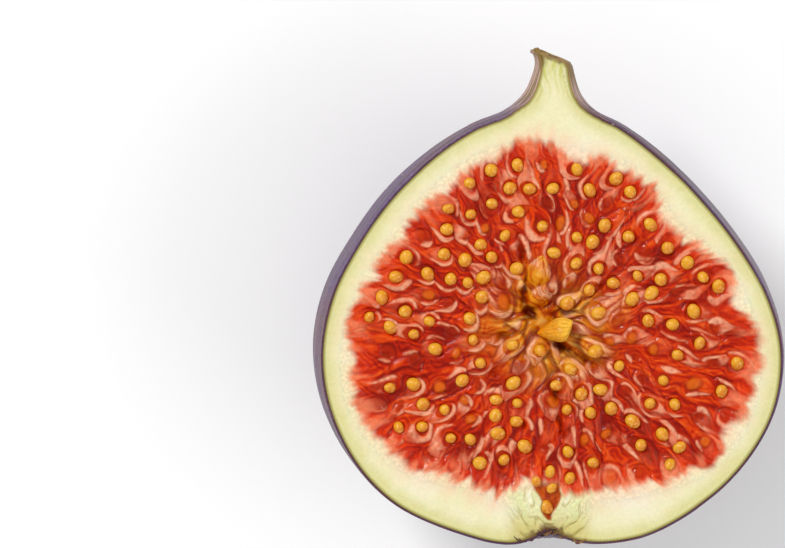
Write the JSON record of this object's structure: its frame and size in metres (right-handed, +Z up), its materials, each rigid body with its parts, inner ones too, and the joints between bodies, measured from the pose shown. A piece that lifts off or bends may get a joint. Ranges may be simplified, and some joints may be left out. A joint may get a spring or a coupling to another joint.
{
  "type": "fresh fig half",
  "caption": "Half of a fresh purple fig cut lengthwise, with its stalk, thin skin, cream rind and red seeded pulp, lying on its back with the cut face up.",
  "frame": {"origin": "on the resting surface, under the middle of the fruit's bounding box", "axes": "+Y along the fruit from the eye to the stalk, +Z up, out of the cut face"},
  "size_m": [0.0552, 0.0594, 0.0304],
  "materials": {
    "skin": "satin skin with a dull waxy bloom",
    "rind": "moist cream flesh, greener at the skin",
    "pulp": "wet and glossy, with golden seeds"
  },
  "bodies": {
    "root": {"skin": "skin", "rind": "rind", "pulp": "pulp"}
  },
  "joints": []
}
